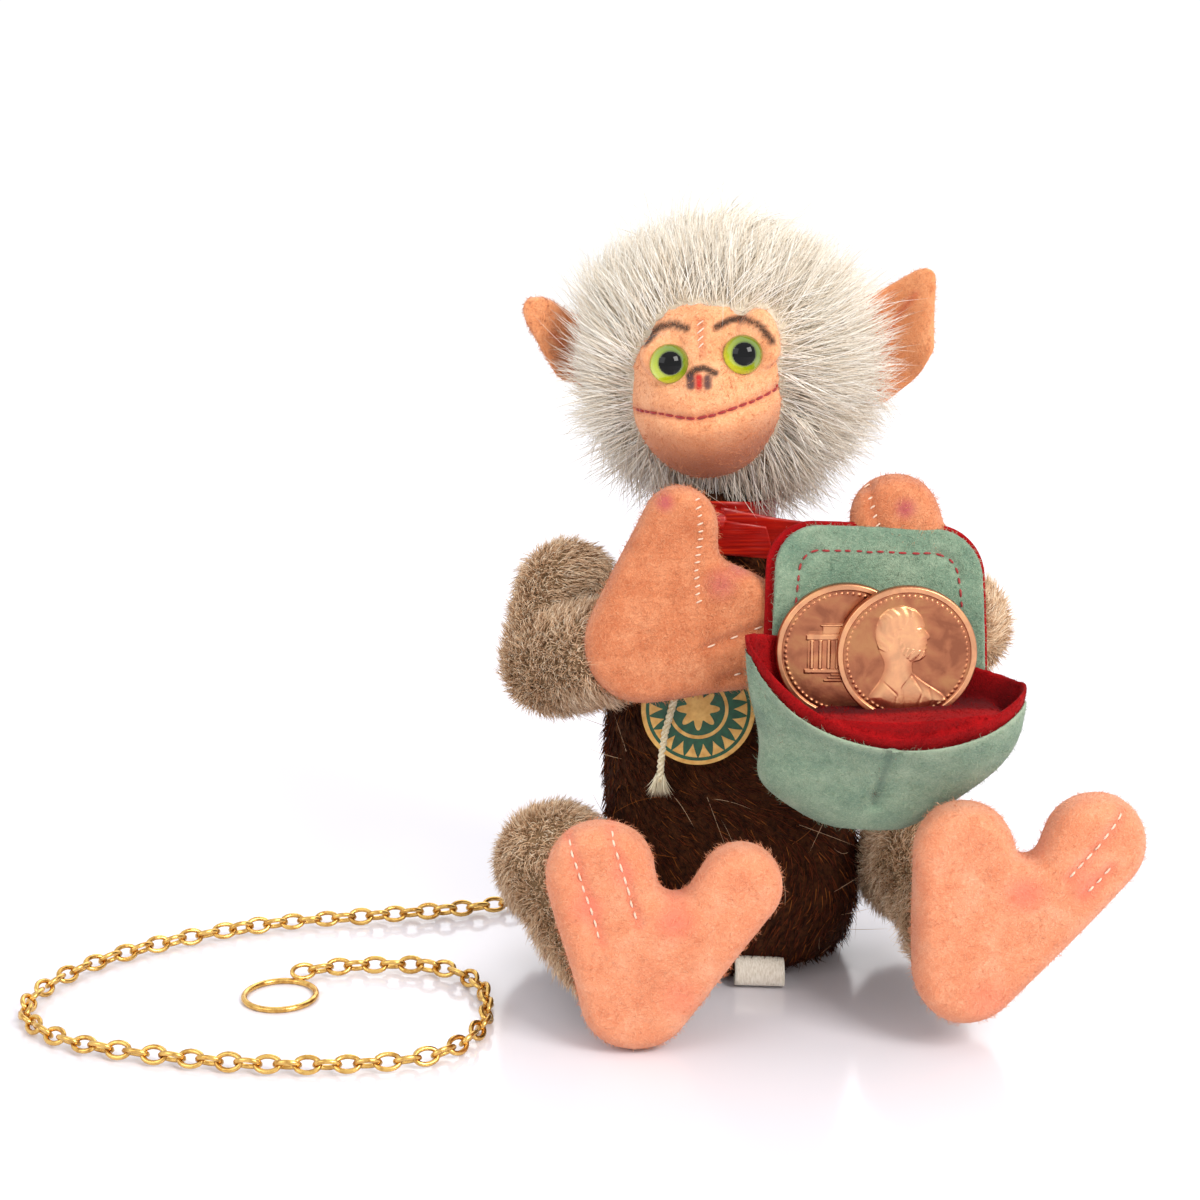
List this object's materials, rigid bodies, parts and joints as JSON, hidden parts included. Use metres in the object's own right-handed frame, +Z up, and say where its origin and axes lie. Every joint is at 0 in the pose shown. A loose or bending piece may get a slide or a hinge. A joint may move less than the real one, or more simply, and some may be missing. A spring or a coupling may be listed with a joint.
{
  "type": "jointed mohair monkey",
  "caption": "Seated disc-jointed mohair monkey with felt face and paws, neck ribbon and leash chain, holding an upturned felt cap with coins.",
  "frame": {"origin": "middle of the flat seat, on the surface the monkey sits on", "axes": "+Z up; -Y to the monkey's front; +X to the monkey's left"},
  "size_m": [0.1603, 0.0728, 0.1116],
  "materials": {
    "mohair_brown": "short dense mohair pile, dark brown",
    "mohair_taupe": "short dense mohair pile, beige",
    "mohair_white": "long soft mohair, off white",
    "felt_peach": "wool felt, matt",
    "filling": "wood wool filling",
    "hardboard": "hardboard, smooth face",
    "steel": "plain steel wire and washers",
    "glass_green": "glass eye, green iris and black pupil",
    "felt_green": "wool felt, matt",
    "felt_red": "wool felt, matt",
    "copper": "worn copper-plated coin metal",
    "gold_chain": "bright gilt",
    "satin_red": "satin ribbon, glossy",
    "label_tape": "woven tape",
    "tag_card": "printed card with a gilt border",
    "string": "twisted cotton string"
  },
  "bodies": {
    "torso": {"chain_end_ring": "gold_chain", "chain_neck_ring": "gold_chain", "chain_run": "gold_chain", "hip_left_disc_inner": "hardboard", "hip_right_disc_inner": "hardboard", "joint_washers": "steel", "neck_disc_inner": "hardboard", "ribbon_bow": "satin_red", "ribbon_collar": "satin_red", "sewn_label": "label_tape", "shoulder_left_disc_inner": "hardboard", "shoulder_right_disc_inner": "hardboard", "tag_string": "string", "torso_skin": "mohair_brown", "torso_stuffing": "filling"},
    "head": {"ear_left": "felt_peach", "ear_right": "felt_peach", "eye_left": "glass_green", "eye_right": "glass_green", "eye_shanks": "steel", "face_felt": "felt_peach", "head_skin": "mohair_white", "head_stuffing": "filling", "neck_disc_outer": "hardboard", "neck_pin": "steel"},
    "arm_right": {"arm_right_sleeve": "mohair_taupe", "arm_right_stuffing": "filling", "hand_right_felt": "felt_peach", "hand_right_stuffing": "filling", "shoulder_right_disc_outer": "hardboard", "shoulder_right_pin": "steel"},
    "arm_left": {"arm_left_sleeve": "mohair_taupe", "arm_left_stuffing": "filling", "cap_crown": "felt_green", "cap_lining": "felt_red", "cap_peak": "felt_green", "cap_wadding": "filling", "hand_left_felt": "felt_peach", "hand_left_stuffing": "filling", "shoulder_left_disc_outer": "hardboard", "shoulder_left_pin": "steel"},
    "leg_right": {"foot_right_felt": "felt_peach", "foot_right_stuffing": "filling", "hip_right_disc_outer": "hardboard", "hip_right_pin": "steel", "leg_right_sleeve": "mohair_taupe", "leg_right_stuffing": "filling"},
    "leg_left": {"foot_left_felt": "felt_peach", "foot_left_stuffing": "filling", "hip_left_disc_outer": "hardboard", "hip_left_pin": "steel", "leg_left_sleeve": "mohair_taupe", "leg_left_stuffing": "filling"},
    "coin_front": {"coin_front": "copper"},
    "coin_back": {"coin_back": "copper"},
    "tag": {"tag_card": "tag_card"}
  },
  "joints": [
    {"name": "neck_swivel", "type": "hinge", "parent": "torso", "child": "head", "pos_m": [-0.0046, 0, 0.0735], "axis": [0, 0, 1], "continuous": true},
    {"name": "shoulder_right", "type": "hinge", "parent": "torso", "child": "arm_right", "pos_m": [-0.0265, 0, 0.057], "axis": [-1, 0, 0], "range_deg": [-6, 5]},
    {"name": "shoulder_left", "type": "hinge", "parent": "torso", "child": "arm_left", "pos_m": [0.0193, 0, 0.057], "axis": [-1, 0, 0], "range_deg": [-8, 3]},
    {"name": "hip_right", "type": "hinge", "parent": "torso", "child": "leg_right", "pos_m": [-0.0284, 0, 0.0135], "axis": [-1, 0, 0], "range_deg": [-90, 6]},
    {"name": "hip_left", "type": "hinge", "parent": "torso", "child": "leg_left", "pos_m": [0.0268, 0, 0.0135], "axis": [-1, 0, 0], "range_deg": [-90, 0]},
    {"name": "coin_front_lift", "type": "slide", "parent": "arm_left", "child": "coin_front", "axis": [0, 0, 1], "range_m": [0, 0.025]},
    {"name": "coin_back_lift", "type": "slide", "parent": "arm_left", "child": "coin_back", "axis": [0, 0, 1], "range_m": [0, 0.025]},
    {"name": "tag_swing", "type": "hinge", "parent": "torso", "child": "tag", "pos_m": [-0.0073, -0.01624, 0.05047], "axis": [0, -0.9954, 0.0958], "range_deg": [-4, 15]}
  ]
}
